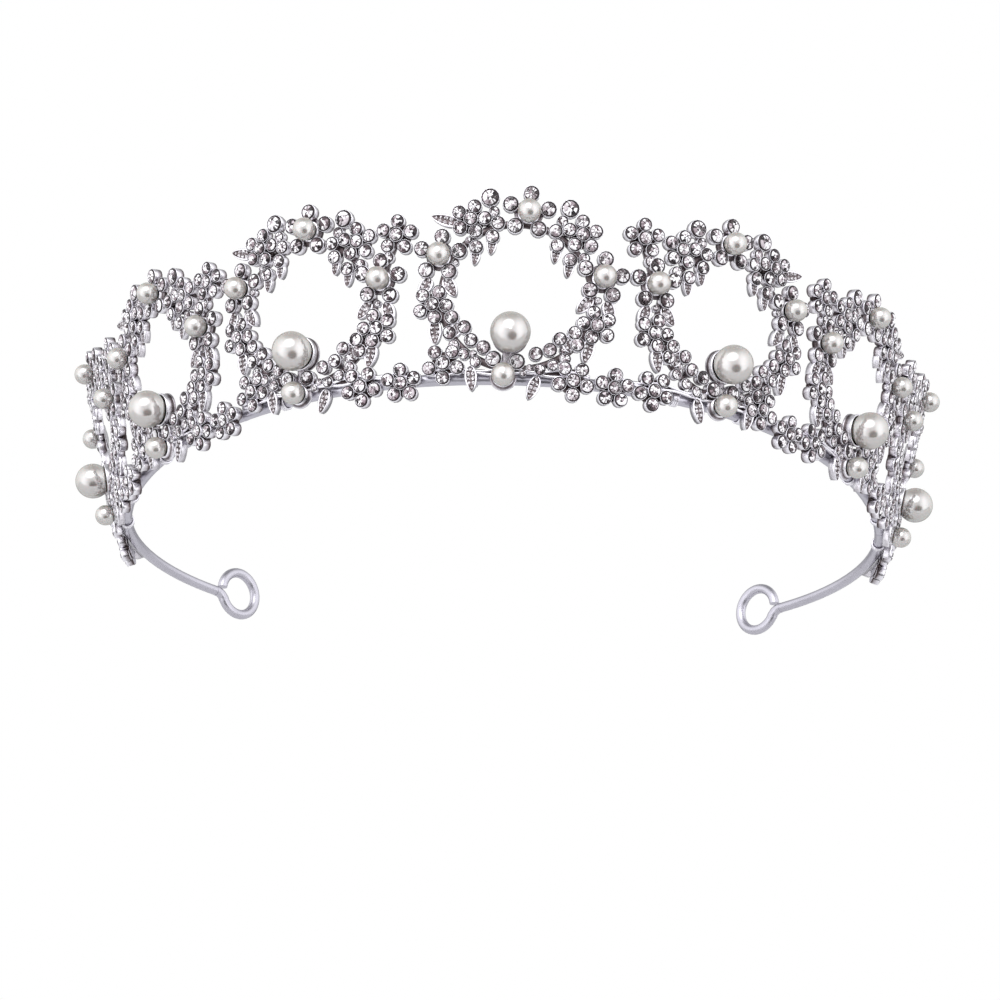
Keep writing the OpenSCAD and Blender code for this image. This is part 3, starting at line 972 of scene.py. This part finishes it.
class Nodes:
    """Short calls for making and joining shader nodes in one tree."""

    def __init__(self, tree: bpy.types.NodeTree) -> None:
        """Keeps the tree."""
        self.tree = tree

    def fill(self, node: bpy.types.Node, **values: object) -> bpy.types.Node:
        """Sets a node's values.

        Args:
            node: The node.
            values: Attributes of the node, or default values of its inputs, by name with _ for a space.

        Returns:
            The node.
        """
        for name, value in values.items():
            if hasattr(node, name):
                setattr(node, name, value)
            else:
                node.inputs[name.replace("_", " ")].default_value = value
        return node

    def add(self, kind: str, **values: object) -> bpy.types.Node:
        """Returns a new node of a type, with values as in fill."""
        return self.fill(self.tree.nodes.new(kind), **values)

    def join(self, source: Socket, target: Socket) -> None:
        """Joins an output to an input."""
        self.tree.links.new(source, target)

    def put(self, value: Socket | Colour | float, target: Socket) -> None:
        """Joins an output to an input, or sets the input to a colour or a number."""
        if isinstance(value, Socket):
            self.join(value, target)
        else:
            target.default_value = (*value, 1.0) if isinstance(value, tuple) else value

    def math(
        self, operation: str, first: Socket | float, second: Socket | float | None = None,
        clamp: bool = False,
    ) -> Socket:
        """Adds a math node.

        Args:
            operation: Its operation.
            first: A socket or a number.
            second: A socket, a number or nothing.
            clamp: Whether the result is kept between zero and one.

        Returns:
            Its output.
        """
        node = self.add("ShaderNodeMath", operation=operation, use_clamp=clamp)
        self.put(first, node.inputs[0])
        if second is not None:
            self.put(second, node.inputs[1])
        return node.outputs[0]

    def ramp(self, source: Socket, stops: Sequence[tuple[float, Colour]], constant: bool = False) -> Socket:
        """Adds a colour ramp.

        Args:
            source: The value that picks the colour.
            stops: Rows of position and colour.
            constant: Whether colours change at once from one stop to the next.

        Returns:
            Its colour output.
        """
        node = self.add("ShaderNodeValToRGB")
        node.color_ramp.interpolation = "CONSTANT" if constant else "LINEAR"
        items = node.color_ramp.elements
        while len(items) < len(stops):
            items.new(0.5)
        for item, (place, colour) in zip(items, stops):
            item.position = place
            item.color = (*colour, 1.0)
        self.join(source, node.inputs["Fac"])
        return node.outputs["Color"]

    def mix(self, factor: Socket | float, first: Socket | Colour, second: Socket | Colour) -> Socket:
        """Adds a colour mix.

        Args:
            factor: A socket or a number.
            first: A socket or a colour.
            second: A socket or a colour.

        Returns:
            Its colour output.
        """
        node = self.add("ShaderNodeMix", data_type="RGBA")
        for index, value in ((0, factor), (6, first), (7, second)):
            self.put(value, node.inputs[index])
        return node.outputs[2]

    def smooth_step(self, value: Socket, low: float, high: float) -> Socket:
        """Returns an output that goes smoothly from zero at the low value to one at the high value."""
        node = self.add("ShaderNodeMapRange", interpolation_type="SMOOTHSTEP", From_Min=low, From_Max=high)
        self.join(value, node.inputs["Value"])
        return node.outputs["Result"]

    def bump(self, height: Socket, shader: bpy.types.Node, strength: float, distance: float) -> None:
        """Gives a shader's normal a relief of the given strength and depth in metres."""
        node = self.add("ShaderNodeBump", Strength=strength, Distance=distance)
        self.join(height, node.inputs["Height"])
        self.join(node.outputs[0], shader.inputs["Normal"])


def toned(colour: Colour, factor: float) -> Colour:
    """Returns a colour made darker or lighter by a factor, up to one."""
    return tuple(min(1.0, part * factor) for part in colour)


def new_material(name: str) -> tuple[bpy.types.Material, Nodes, bpy.types.Node]:
    """Makes an empty material with a Principled shader.

    Args:
        name: The material's name.

    Returns:
        The material, its nodes and the shader.
    """
    material = bpy.data.materials.new(name)
    material.use_nodes = True
    material.node_tree.nodes.clear()
    nodes = Nodes(material.node_tree)
    out = nodes.add("ShaderNodeOutputMaterial")
    shader = nodes.add("ShaderNodeBsdfPrincipled")
    nodes.join(shader.outputs[0], out.inputs["Surface"])
    return material, nodes, shader


def wear_group() -> bpy.types.NodeTree:
    """Builds the shared wear effect: soft clouds and fine scratches in object space.

    Returns:
        The group, with Scale in, and Clouds, Scratches and Height out.
    """
    tree = bpy.data.node_groups.new("handled_metal", "ShaderNodeTree")
    tree.interface.new_socket("Scale", in_out="INPUT", socket_type="NodeSocketFloat")
    for name in ("Clouds", "Scratches", "Height"):
        tree.interface.new_socket(name, in_out="OUTPUT", socket_type="NodeSocketFloat")
    n = Nodes(tree)
    source = n.add("NodeGroupInput")
    target = n.add("NodeGroupOutput")
    place = n.add("ShaderNodeTexCoord")
    clouds = n.add("ShaderNodeTexNoise", Detail=3.0, Roughness=0.6)
    n.join(place.outputs["Object"], clouds.inputs["Vector"])
    n.join(source.outputs["Scale"], clouds.inputs["Scale"])
    stretch = n.add("ShaderNodeMapping", Scale=(1.0, 1.0, 9.0), Rotation=(0.4, 0.9, 0.3))
    n.join(place.outputs["Object"], stretch.inputs["Vector"])
    fine = n.add("ShaderNodeTexNoise", Detail=4.0, Roughness=0.7)
    n.join(stretch.outputs["Vector"], fine.inputs["Vector"])
    n.join(n.math("MULTIPLY", source.outputs["Scale"], 6.0), fine.inputs["Scale"])
    scratches = n.math("MULTIPLY", n.math("SUBTRACT", fine.outputs["Fac"], 0.5), 2.0)
    height = n.math("ADD", n.math("MULTIPLY", clouds.outputs["Fac"], 0.6), fine.outputs["Fac"])
    n.join(clouds.outputs["Fac"], target.inputs["Clouds"])
    n.join(scratches, target.inputs["Scratches"])
    n.join(height, target.inputs["Height"])
    return tree


@dataclass(frozen=True)
class SilverCasting:
    """Bright plated casting metal that goes grey, then dark brown, and rougher in its recesses; the dark is
    painted shade and patina.
    """

    bright: Colour = (0.83, 0.81, 0.85)
    grey: Colour = (0.5, 0.47, 0.5)
    brown: Colour = (0.14, 0.115, 0.12)
    dark: Colour = (0.035, 0.025, 0.025)
    wear_scale: float = 900.0
    mottle: float = 0.5
    roughness: float = 0.13
    recess_roughness: float = 0.25
    scratch_roughness: float = 0.08

    def build(self, wear: bpy.types.NodeTree) -> bpy.types.Material:
        """Returns the material, given the shared wear group."""
        material, n, shader = new_material("silver_casting")
        n.fill(shader, Metallic=1.0)
        group = n.add("ShaderNodeGroup", node_tree=wear, Scale=self.wear_scale)
        depth = n.add("ShaderNodeAttribute", attribute_name="recess")
        clouds = n.math("MULTIPLY", n.math("SUBTRACT", group.outputs["Clouds"], 0.5), self.mottle)
        shade_and_patina = n.math("ADD", depth.outputs["Fac"], clouds)
        # Painted shade and patina: grey to dark brown where the recess value is high, at cup feet, floors,
        # gaps and under the stones
        stops = [(0.15, self.bright), (0.36, self.grey), (0.56, self.brown), (0.85, self.dark)]
        n.join(n.ramp(shade_and_patina, stops), shader.inputs["Base Color"])
        scratches = n.math("MULTIPLY", group.outputs["Scratches"], self.scratch_roughness)
        rough = n.math("ADD", n.math("MULTIPLY", shade_and_patina, self.recess_roughness), scratches)
        n.join(n.math("ADD", rough, self.roughness, clamp=True), shader.inputs["Roughness"])
        n.bump(group.outputs["Height"], shader, 0.25, 0.00008)
        return material


@dataclass(frozen=True)
class SatinWire:
    """Smooth grey-lilac wire with a soft sheen and faint drawing marks."""

    colour: Colour = (0.5, 0.485, 0.535)
    cloud: float = 0.14
    wear_scale: float = 160.0
    roughness: float = 0.3
    scratch_roughness: float = 0.1

    def build(self, wear: bpy.types.NodeTree) -> bpy.types.Material:
        """Returns the material, given the shared wear group."""
        material, n, shader = new_material("satin_wire")
        n.fill(shader, Metallic=1.0)
        group = n.add("ShaderNodeGroup", node_tree=wear, Scale=self.wear_scale)
        low, high = toned(self.colour, 1 - self.cloud), toned(self.colour, 1 + self.cloud)
        n.join(n.mix(group.outputs["Clouds"], low, high), shader.inputs["Base Color"])
        scratches = n.math("MULTIPLY", group.outputs["Scratches"], self.scratch_roughness)
        n.join(n.math("ADD", scratches, self.roughness, clamp=True), shader.inputs["Roughness"])
        n.bump(group.outputs["Height"], shader, 0.2, 0.00005)
        return material


@dataclass(frozen=True)
class FoiledCrystal:
    """Clear cut crystal backed with foil.

    A stone is split into sectors of a turn and into rings, and each field takes a dark, rosy or pale tone by
    chance, as painted reflections of its facets. Dark strokes run between some of the sectors as painted dark
    facet reflections, and the cup's shadow is painted as a thin dark edge, wider on one side. Lengths are
    parts of the stone's radius.
    """

    # Painted reflections: the tones a facet field shows by chance, from black to nearly white
    reflection_tones: tuple[tuple[float, Colour], ...] = (
        (0.0, (0.010, 0.007, 0.009)), (0.2, (0.08, 0.055, 0.062)), (0.3, (0.30, 0.24, 0.265)),
        (0.42, (0.55, 0.49, 0.52)), (0.56, (0.92, 0.90, 0.92)),
    )
    # Painted dark facet reflection along the strokes
    dark_facet_colour: Colour = (0.06, 0.04, 0.045)
    # Colour of the painted shadow of the cup at the stone's edge
    shadow_edge_colour: Colour = (0.03, 0.022, 0.025)
    sectors: int = 8
    rings: float = 2.5
    own_step: float = 7.31
    stroke: float = 0.09
    stroke_from: float = 0.3
    stroke_skip: float = 0.45
    stroke_power: float = 0.85
    # Where the painted shadow edge starts and ends, and how far it leans to one side
    shadow_from: float = 0.79
    shadow_to: float = 0.87
    shadow_lean: float = 0.08

    def build(self) -> bpy.types.Material:
        """Returns the material."""
        material, n, shader = new_material("foiled_crystal")
        n.fill(shader, Metallic=0.0, IOR=1.5, Specular_IOR_Level=0.15, Coat_Weight=0.25, Coat_Roughness=0.02)
        place = n.add("ShaderNodeAttribute", attribute_name="local")
        stone = n.add("ShaderNodeAttribute", attribute_name="stone")
        split = n.add("ShaderNodeSeparateXYZ")
        n.join(place.outputs["Vector"], split.inputs[0])
        angle = n.math("ARCTAN2", split.outputs[1], split.outputs[0])
        squares = [n.math("MULTIPLY", split.outputs[i], split.outputs[i]) for i in (0, 1)]
        radius = n.math("SQRT", n.math("ADD", *squares))
        ring = n.math("FLOOR", n.math("MULTIPLY", radius, self.rings))
        step = 2 * math.pi / self.sectors
        own = n.math("MULTIPLY", stone.outputs["Fac"], self.own_step)
        turned = n.math("ADD", n.math("DIVIDE", angle, step), own)
        shifted = n.math("ADD", turned, n.math("MULTIPLY", ring, 0.5))
        sector = n.math("FLOOR", n.math("WRAP", shifted, self.sectors))
        cell = n.add("ShaderNodeCombineXYZ")
        for index, value in enumerate((sector, ring, own)):
            n.join(value, cell.inputs[index])
        noise = n.add("ShaderNodeTexWhiteNoise")
        n.join(cell.outputs[0], noise.inputs["Vector"])
        chance = noise.outputs["Value"]
        # Painted reflections: each field of the stone takes one tone by chance
        colour = n.ramp(chance, self.reflection_tones, constant=True)
        off = n.math("ABSOLUTE", n.math("SUBTRACT", n.math("FRACT", shifted), 0.5))
        gap = n.math("MULTIPLY", n.math("SUBTRACT", 0.5, off), n.math("MULTIPLY", radius, step))
        near = n.math("LESS_THAN", gap, self.stroke)
        near_strokes = n.math("MULTIPLY", near, n.math("GREATER_THAN", radius, self.stroke_from))
        kept = n.math("GREATER_THAN", n.math("FRACT", n.math("MULTIPLY", chance, 17.0)), self.stroke_skip)
        mask = n.math("MULTIPLY", n.math("MULTIPLY", near_strokes, kept), self.stroke_power)
        colour = n.mix(mask, colour, self.dark_facet_colour)
        # Painted shadow of the cup: a thin dark edge, wider on one side
        leaning = n.math("ADD", radius, n.math("MULTIPLY", n.math("COSINE", angle), self.shadow_lean))
        edge = n.smooth_step(leaning, self.shadow_from, self.shadow_to)
        n.join(n.mix(edge, colour, self.shadow_edge_colour), shader.inputs["Base Color"])
        n.join(n.math("ADD", n.math("MULTIPLY", chance, 0.12), 0.04), shader.inputs["Roughness"])
        return material


@dataclass(frozen=True)
class PearlCoat:
    """Ivory nacre: a warm body with a faint cloud and a painted shade towards its rim, a little darker and
    greener, and a strong clear coat that mirrors the studio and thins out at the rim."""

    body: Colour = (0.34, 0.305, 0.285)
    # Painted rim shade: the darker, greener colour the body takes where it turns away from the viewer
    rim: Colour = (0.31, 0.30, 0.25)
    cloud: float = 0.04
    cloud_scale: float = 260.0
    rim_shade_share: float = 0.95
    coat_loss: float = 0.75

    def build(self) -> bpy.types.Material:
        """Returns the material."""
        material, n, shader = new_material("pearl_coat")
        n.fill(shader, Roughness=0.25, IOR=1.6, Coat_Roughness=0.08, Coat_IOR=4.0)
        n.fill(shader, Subsurface_Weight=0.15, Subsurface_Scale=0.001)
        place = n.add("ShaderNodeTexCoord")
        clouds = n.add("ShaderNodeTexNoise", Scale=self.cloud_scale, Detail=3.0)
        n.join(place.outputs["Object"], clouds.inputs["Vector"])
        edge = n.add("ShaderNodeLayerWeight", Blend=0.35).outputs["Facing"]
        low, high = toned(self.body, 1 - self.cloud), toned(self.body, 1 + self.cloud)
        body = n.mix(clouds.outputs["Fac"], low, high)
        # Painted rim shade, mixed in by how far the surface faces away
        colour = n.mix(n.math("MULTIPLY", edge, self.rim_shade_share, clamp=True), body, self.rim)
        n.join(colour, shader.inputs["Base Color"])
        coat = n.math("SUBTRACT", 1.0, n.math("MULTIPLY", edge, self.coat_loss))
        n.join(coat, shader.inputs["Coat Weight"])
        n.bump(clouds.outputs["Fac"], shader, 0.06, 0.0001)
        return material


# The stage


@dataclass(frozen=True)
class Panel:
    """A soft bright or dark part of the surround: its way in the picture's axes, its inner and outer angle in
    degrees, and its power. A negative power takes light away."""

    across: float
    rise: float
    toward: float
    core: float
    reach: float
    power: float


PANELS = (
    # All round, stronger from above
    Panel(0.0, 1.0, 0.3, 0, 180, 0.3),
    # Round the camera
    Panel(0.0, 0.0, 1.0, 40, 110, 0.72),
    # The small bright one over the camera, which every pearl mirrors
    Panel(-0.15, 0.72, 0.68, 14, 34, 1.9),
    # Left and right
    Panel(-1.0, 0.1, 0.1, 15, 75, 1.2),
    Panel(1.0, 0.1, 0.1, 15, 75, 1.2),
    # Behind and below
    Panel(0.0, 0.2, -1.0, 20, 75, 0.4),
    Panel(0.0, -1.0, 0.1, 20, 80, 0.3),
    # The dark spot that every pearl mirrors
    Panel(0.17, -0.45, 0.87, 14, 33, -0.97),
)


@dataclass(frozen=True)
class Studio:
    """Camera, floor, key light and surround.

    Lengths are in millimetres, apart from the floor's reach and the key's distance and size, which are in
    metres. The focal length is for a picture of frame_px pixels, and ways are in the picture's axes.
    """

    azimuth: float = -0.882
    elevation: float = -22.356
    roll: float = 1.429
    distance: float = 438.67
    target: tuple[float, float, float] = (-1.226, -1.600, 3.613)
    focal_px: float = 2251.4
    frame_px: float = 1000.0
    sensor: float = 36.0
    floor_z: float = -190.0
    floor_near: float = -115.0
    floor_reach: float = 3.0
    key_way: tuple[float, float, float] = (-0.15, 0.74, 0.66)
    key_distance: float = 0.9
    key_size: float = 0.35
    key_power: float = 0.9
    tint: Colour = (0.97, 0.98, 1.0)

    def view_axes(self) -> tuple[Vector, Vector, Vector]:
        """Returns the picture's right and up, and the way back to the camera."""
        az, el, roll = (math.radians(v) for v in (self.azimuth, self.elevation, self.roll))
        back = Vector((math.sin(az) * math.cos(el), -math.cos(az) * math.cos(el), math.sin(el)))
        right = Vector((math.cos(az), math.sin(az), 0.0))
        up = back.cross(right)
        c, s = math.cos(roll), math.sin(roll)
        return right * c + up * s, up * c - right * s, back

    def way(self, across: float, rise: float, toward: float) -> Vector:
        """Returns a way given in the picture's axes, in the scene's axes."""
        right, up, back = self.view_axes()
        return right * across + up * rise + back * toward

    def add_camera(self) -> None:
        """Adds the camera: it looks at the target from its azimuth and elevation, rolled about its view."""
        right, up, back = self.view_axes()
        place = (Vector(self.target) + back * self.distance) * MM
        camera = bpy.data.cameras.new("camera")
        camera.sensor_width = self.sensor
        camera.lens = self.focal_px / self.frame_px * self.sensor
        camera.clip_start = 0.01
        obj = bpy.data.objects.new("camera", camera)
        obj.matrix_world = Matrix.Translation(place) @ Matrix((right, up, back)).transposed().to_4x4()
        bpy.context.scene.collection.objects.link(obj)
        bpy.context.scene.camera = obj

    def add_floor(self) -> None:
        """Adds the pale floor below the camera's height.

        It starts just in front of the crown, because a floor that went on under the camera would fill the
        lower half of every reflection in the pearls.
        """
        mesh = bpy.data.meshes.new("floor")
        r, near, z = self.floor_reach, self.floor_near * MM, self.floor_z * MM
        mesh.from_pydata([(-r, near, z), (r, near, z), (r, r, z), (-r, r, z)], [], [(0, 1, 2, 3)])
        material, n, shader = new_material("pale_floor")
        n.fill(shader, Roughness=0.8)
        place = n.add("ShaderNodeTexCoord")
        grain = n.add("ShaderNodeTexNoise", Scale=18.0, Detail=2.0)
        n.join(place.outputs["Object"], grain.inputs["Vector"])
        colour = n.mix(grain.outputs["Fac"], (0.83, 0.83, 0.84), (0.87, 0.87, 0.87))
        n.join(colour, shader.inputs["Base Color"])
        mesh.materials.append(material)
        obj = bpy.data.objects.new("floor", mesh)
        bpy.context.scene.collection.objects.link(obj)

    def add_key(self) -> None:
        """Adds the key light: a soft square above the camera, facing the crown."""
        light = bpy.data.lights.new("key", "AREA")
        light.shape = "SQUARE"
        light.size = self.key_size
        light.energy = self.key_power
        obj = bpy.data.objects.new("key", light)
        place = self.way(*self.key_way) * self.key_distance
        obj.location = place
        obj.rotation_euler = (Vector((0, 0, 0.02)) - place).to_track_quat("-Z", "Y").to_euler()
        bpy.context.scene.collection.objects.link(obj)

    def add_world(self) -> None:
        """Adds the surround: plain white where the camera sees it, and for light and reflections a soft grey
        tent with bright panels and a dark one. A panel fades out as its angle from its way grows."""
        world = bpy.data.worlds.new("surround")
        bpy.context.scene.world = world
        world.use_nodes = True
        world.node_tree.nodes.clear()
        n = Nodes(world.node_tree)
        out = n.add("ShaderNodeOutputWorld")
        seen = n.add("ShaderNodeBackground", Color=(1.0, 1.0, 1.0, 1.0), Strength=1.0)
        light = n.add("ShaderNodeBackground", Strength=1.0)
        place = n.add("ShaderNodeTexCoord")
        total: Socket | float = 0.0
        for panel in PANELS:
            dot = n.add("ShaderNodeVectorMath", operation="DOT_PRODUCT")
            n.join(place.outputs["Generated"], dot.inputs[0])
            dot.inputs[1].default_value = self.way(panel.across, panel.rise, panel.toward).normalized()
            low, high = (math.cos(math.radians(angle)) for angle in (panel.reach, panel.core))
            share = n.math("MULTIPLY", n.smooth_step(dot.outputs["Value"], low, high), abs(panel.power))
            if panel.power < 0:
                total = n.math("MULTIPLY", total, n.math("SUBTRACT", 1.0, share))
            else:
                total = n.math("ADD", total, share)
        scaled = n.add("ShaderNodeVectorMath", operation="SCALE")
        scaled.inputs[0].default_value = self.tint
        n.join(total, scaled.inputs["Scale"])
        n.join(scaled.outputs[0], light.inputs["Color"])
        path = n.add("ShaderNodeLightPath")
        mix = n.add("ShaderNodeMixShader")
        n.join(path.outputs["Is Camera Ray"], mix.inputs[0])
        n.join(light.outputs[0], mix.inputs[1])
        n.join(seen.outputs[0], mix.inputs[2])
        n.join(mix.outputs[0], out.inputs["Surface"])

    def build(self) -> None:
        """Builds camera, floor, surround and key light."""
        self.add_camera()
        self.add_floor()
        self.add_world()
        self.add_key()
        bpy.context.scene.view_settings.view_transform = "Standard"


# The crown


@dataclass
class Crown:
    """All pieces of the crown with their finishes."""

    wall: Wall = field(default_factory=Wall)

    def build(self, frame: dict) -> None:
        """Builds each wreath, then dresses the wire and the pearls.

        Args:
            frame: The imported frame.
        """
        wear = wear_group()
        silver = SilverCasting().build(wear)
        crystal = FoiledCrystal().build()
        wire = SatinWire().build(wear)
        pearl = PearlCoat().build()
        for k in WREATHS:
            chart = WreathChart(self.wall, k)
            casting = CastingMaker(chart)
            obj = casting.build(silver)
            LOG.info("%s has %d faces", obj.name, len(obj.data.polygons))
            StoneMaker(chart, casting).build(crystal)
        for name, obj in frame["nodes"].items():
            if name == "base_wire" or "pearl" in name:
                material = wire if name == "base_wire" else pearl
                obj.data.materials.clear()
                obj.data.materials.append(material)
                LOG.info("dressed %s", name)


def main() -> None:
    """Loads the frame, and builds the crown and its stage."""
    logging.basicConfig(level=logging.INFO, format="%(message)s")
    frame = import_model()
    Crown().build(frame)
    Studio().build()
    LOG.info("sizes written")


if __name__ == "__main__":
    main()
